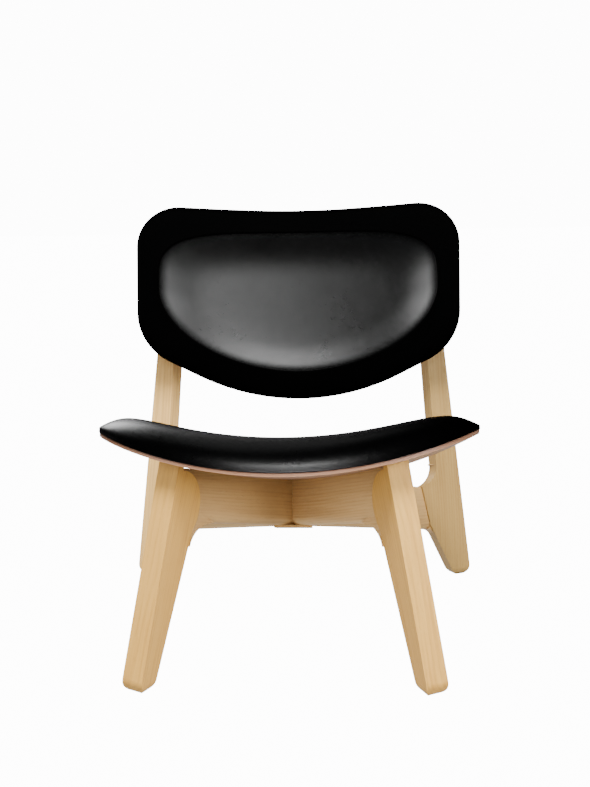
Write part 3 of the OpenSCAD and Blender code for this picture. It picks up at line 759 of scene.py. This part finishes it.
print("shells and fixings")
seatAxis = Vector(seatPlace(0, 0, seat["dishRadius"]))
backAxis = Vector(backPlace(0, 0, back["curveRadius"]))
dress(nodes["seat_shell"], plywoodMaterial(
    "plywood_seat", seatAxis, math.radians(-seat["fall"]),
    seat["dishRadius"] - seat["ply"], plywood["seatSeed"],
))
dress(nodes["back_shell"], plywoodMaterial(
    "plywood_back", backAxis, math.radians(90 - back["recline"]),
    back["curveRadius"] + back["rim"], plywood["backSeed"],
))
for nodeName in ("seat_shell", "back_shell"):
    soften(nodes[nodeName], plywood["arris"], segments=2)
metal = steelMaterial("steel")
for nodeName in (
    "plate_screws", "seat_bolts", "seat_washers", "seat_tnuts",
    "back_bolts", "back_washers", "back_tnuts",
):
    dress(nodes[nodeName], metal)
hidden = foamMaterial("foam")
for nodeName in ("seat_foam", "back_foam", "seat_cover", "back_cover"):
    dress(nodes[nodeName], hidden)

print("studio")
studio = {
    "floor": (0.86, 0.86, 0.86),
    "floorSpeck": (0.8471, 0.8471, 0.8471),
    "floorReach": 30.0,
    # light of the sky on the chair, and how bright the sky and the floor look
    "sky": 0.04,
    "backdrop": 13.0,
    "floorGlow": 13.6,
    "lights": [
        # name, place, target, size, power, what it lights
        ("frame_key", (-0.05, -1.00, 2.50), (0, 0, 0.40), (0.9, 0.8), 165, "frame"),
        ("frame_front", (0.15, -2.15, 1.30), (0, 0, 0.40), (0.9, 0.8), 22, "frame"),
        ("frame_right", (1.95, -1.30, 1.00), (-0.1, 0, 0.30), (0.8, 0.8), 44, "frame"),
        ("frame_left", (-1.95, -1.30, 0.90), (0.1, 0, 0.25), (0.8, 0.8), 12, "frame"),
        ("frame_rear", (-1.70, 1.80, 1.30), (0, 0.2, 0.40), (1.0, 0.9), 62, "frame"),
        ("frame_bounce", (0.0, -0.30, 0.001), (0, -0.3, 1), (4.0, 3.6), 42, "frame"),
        ("back_key", (0.22, -1.20, 2.60), (0, 0.2, 0.55), (1.3, 1.0), 74, "back"),
        ("back_band", (0.45, -2.04, 1.35), (0, 0.2, 0.55), (0.9, 0.6), 24, "back"),
        ("back_right", (2.05, -1.05, 1.42), (0, 0.2, 0.55), (0.8, 0.8), 40, "back"),
        ("back_left", (-2.25, -0.62, 1.36), (0, 0.2, 0.55), (0.6, 0.8), 76, "back"),
        ("seat_glare", (-1.47, 1.26, 1.35), (-0.28, -0.15, 0.38), (1.1, 1.3), 28, "seat"),
        ("seat_haze", (-1.90, 1.80, 1.90), (0, -0.1, 0.35), (3.6, 2.2), 30, "seat"),
        ("seat_top", (-0.40, 0.00, 2.60), (0, -0.2, 0.40), (2.4, 1.0), 3.2, "seat"),
        ("seat_glint", (0.02, -1.55, 0.38), (0, -0.3, 0.33), (0.42, 0.09), 13, "seat"),
    ],
}


def makeFloor():
    mesh = bpy.data.meshes.new("floor")
    far = studio["floorReach"]
    corners = [(-far, -far, 0), (far, -far, 0), (far, far, 0), (-far, far, 0)]
    mesh.from_pydata(corners, [], [(0, 1, 2, 3)])
    floor = bpy.data.objects.new("floor", mesh)
    bpy.context.scene.collection.objects.link(floor)
    graph = Graph("floor_paper")
    speck = graph.noise(graph.place(), 3.0, 2.0)
    dress(floor, graph.finish({
        "Base Color": graph.blend(speck, studio["floor"], studio["floorSpeck"]),
        "Roughness": 1.0,
        "Specular IOR Level": 0.0,
        "Emission Color": (1.0, 1.0, 1.0, 1.0),
        "Emission Strength": studio["floorGlow"],
    }))
    floor.visible_glossy = False
    floor.visible_diffuse = False


# Collection of the pieces that a group of lamps lights
def makeGroup(name, pieces):
    group = bpy.data.collections.new("lit_" + name)
    for piece in pieces:
        group.objects.link(piece)
    return group


def makeLight(name, place, target, size, power, group):
    data = bpy.data.lights.new(name, "AREA")
    data.shape = "RECTANGLE"
    data.size, data.size_y = size
    data.energy = power
    lamp = bpy.data.objects.new(name, data)
    lamp.location = place
    lamp.rotation_euler = (Vector(target) - Vector(place)).to_track_quat("-Z", "Y").to_euler()
    lamp.visible_camera = False
    lamp.light_linking.receiver_collection = group
    bpy.context.scene.collection.objects.link(lamp)


# The sky is bright to the camera, dark in reflections and dim for the rest
def makeSky():
    world = bpy.data.worlds.new("studio")
    bpy.context.scene.world = world
    world.use_nodes = True
    tree = world.node_tree
    background = tree.nodes["Background"]
    background.inputs["Color"].default_value = (1, 1, 1, 1)
    seen = tree.nodes.new("ShaderNodeLightPath")
    reflected = tree.nodes.new("ShaderNodeMix")
    tree.links.new(seen.outputs["Is Glossy Ray"], reflected.inputs["Factor"])
    reflected.inputs["A"].default_value = studio["sky"]
    reflected.inputs["B"].default_value = 0.0
    strength = tree.nodes.new("ShaderNodeMix")
    tree.links.new(seen.outputs["Is Camera Ray"], strength.inputs["Factor"])
    tree.links.new(reflected.outputs["Result"], strength.inputs["A"])
    strength.inputs["B"].default_value = studio["backdrop"]
    tree.links.new(strength.outputs["Result"], background.inputs["Strength"])


# Camera of the photograph: place in metres, angles in degrees, focal length in pixels
camera = {
    "place": (0.1213, -1.853, 0.7215),
    "yaw": -3.56,
    "pitch": 9.67,
    "roll": 1.082,
    "focal": 1100,
    "imageWidth": 590,
    "sensorWidth": 36,
}


def makeCamera():
    yaw = math.radians(camera["yaw"])
    pitch = math.radians(camera["pitch"])
    roll = math.radians(camera["roll"])
    right = Vector((math.cos(yaw), -math.sin(yaw), 0))
    level = math.cos(pitch)
    ahead = Vector((math.sin(yaw) * level, math.cos(yaw) * level, -math.sin(pitch)))
    down = ahead.cross(right)
    across = math.cos(roll) * right + math.sin(roll) * down
    below = -math.sin(roll) * right + math.cos(roll) * down
    data = bpy.data.cameras.new("camera")
    data.sensor_fit = "HORIZONTAL"
    data.sensor_width = camera["sensorWidth"]
    data.lens = camera["focal"] * camera["sensorWidth"] / camera["imageWidth"]
    viewer = bpy.data.objects.new("camera", data)
    turn = Matrix((across, -below, -ahead)).transposed().to_4x4()
    viewer.matrix_world = Matrix.Translation(camera["place"]) @ turn
    bpy.context.scene.collection.objects.link(viewer)
    bpy.context.scene.camera = viewer


litGroups = {
    "frame": makeGroup("frame", nodes.values()),
    "back": makeGroup("back", [backPad]),
    "seat": makeGroup("seat", [seatPad]),
}
makeFloor()
for *light, lit in studio["lights"]:
    makeLight(*light, litGroups[lit])
makeSky()
makeCamera()

bpy.context.view_layer.update()
